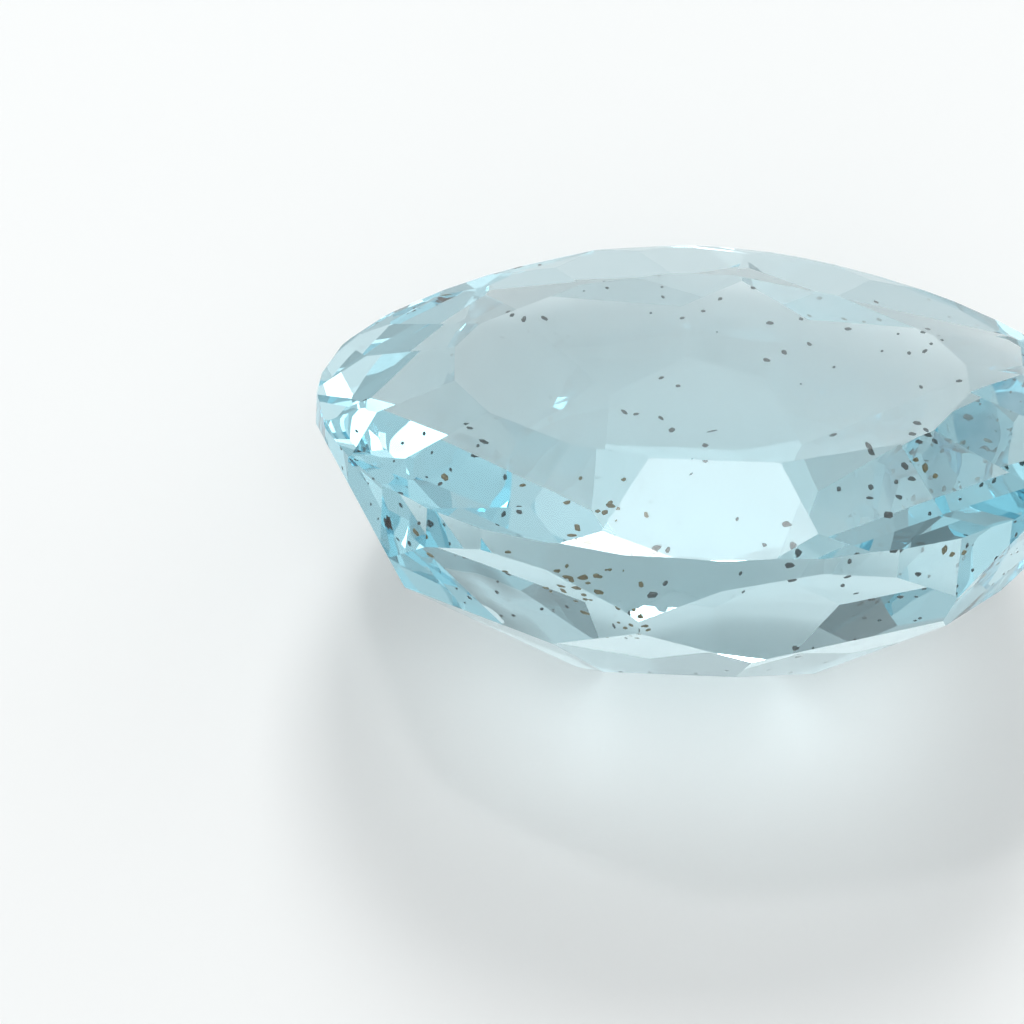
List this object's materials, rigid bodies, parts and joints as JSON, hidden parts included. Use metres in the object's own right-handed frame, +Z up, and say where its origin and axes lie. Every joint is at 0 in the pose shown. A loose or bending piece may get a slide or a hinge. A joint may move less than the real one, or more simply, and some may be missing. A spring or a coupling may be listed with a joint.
{
  "type": "faceted oval aquamarine gemstone",
  "caption": "Clear pale blue oval gemstone with a flat table, faceted crown, thin girdle and deep stepped pavilion, lying on a lower pavilion facet.",
  "frame": {"origin": "middle of the stone's footprint, at the height of the surface it lies on", "axes": "+X along the stone's long axis, +Z up, -Y towards the raised near side of the girdle"},
  "size_m": [0.01, 0.0066, 0.0055],
  "materials": {
    "aquamarine": "polished clear pale blue aquamarine with small dark natural inclusions"
  },
  "bodies": {
    "root": {"aquamarine": "aquamarine"}
  },
  "joints": []
}
